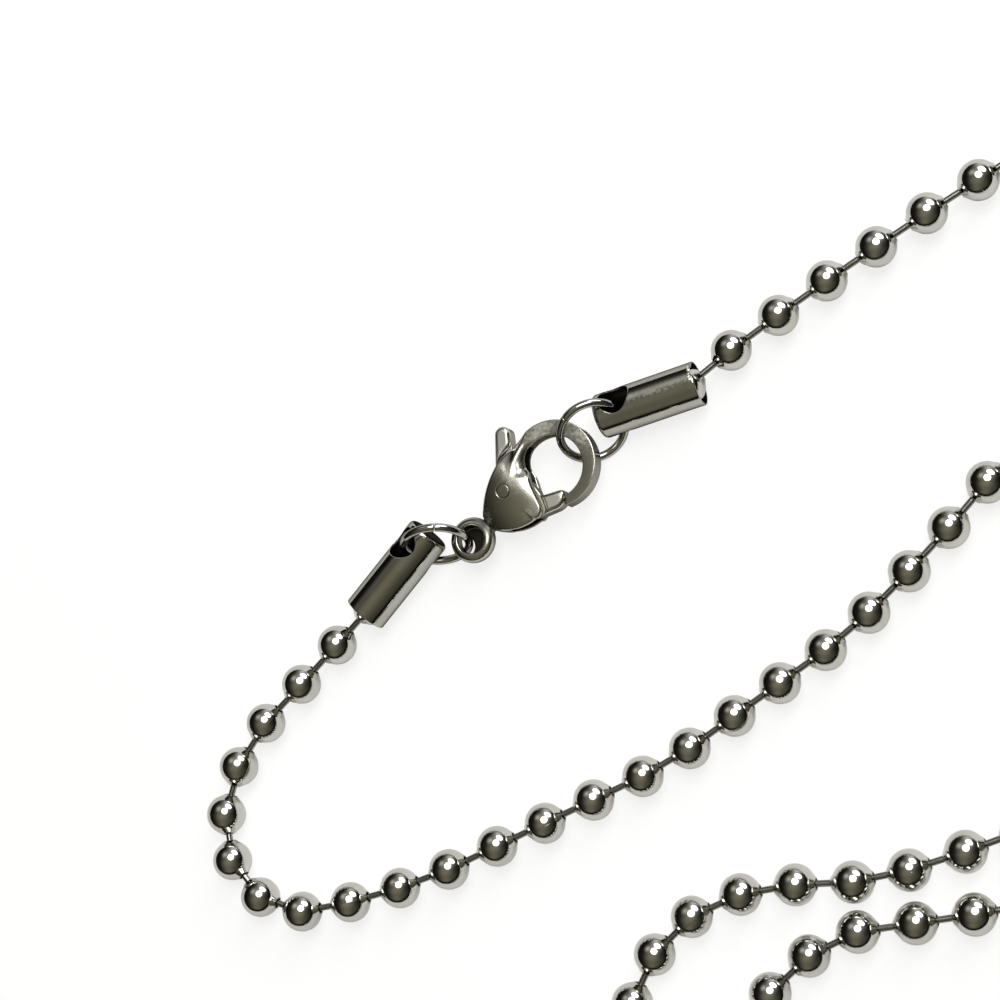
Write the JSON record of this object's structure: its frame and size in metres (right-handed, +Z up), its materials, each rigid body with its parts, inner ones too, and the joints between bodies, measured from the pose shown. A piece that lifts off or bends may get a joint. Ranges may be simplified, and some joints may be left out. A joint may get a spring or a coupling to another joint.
{
  "type": "ball chain necklace",
  "caption": "Polished steel necklace of small hollow balls on link wires, lying in loops, closed by end caps, jump rings and a lobster clasp with a sprung lever.",
  "frame": {"origin": "middle of the laid-out necklace, on the surface that it lies on", "axes": "+Z up from the surface, +Y from the far end of the chain toward the clasp"},
  "size_m": [0.0904, 0.172, 0.0042],
  "materials": {
    "chain_steel": "polished",
    "cap_steel": "polished, with fine lengthwise drawing marks",
    "wire_steel": "polished",
    "clasp_steel": "polished, lightly scuffed"
  },
  "bodies": {
    "necklace": {"chain_right": "chain_steel", "chain_left": "chain_steel", "end_cap_right": "cap_steel", "end_cap_left": "cap_steel", "jump_ring_right": "wire_steel", "jump_ring_left": "wire_steel", "clasp_body": "clasp_steel", "clasp_pin": "clasp_steel"},
    "lever": {"clasp_lever": "clasp_steel"}
  },
  "joints": [
    {"name": "lever_hinge", "type": "hinge", "parent": "necklace", "child": "lever", "pos_m": [-0.02521, 0.06126, 0.00154], "axis": [0, 0, 1], "range_deg": [0, 25], "stiffness_Nm_per_rad": 0.0004, "springref_deg": -11.46}
  ]
}
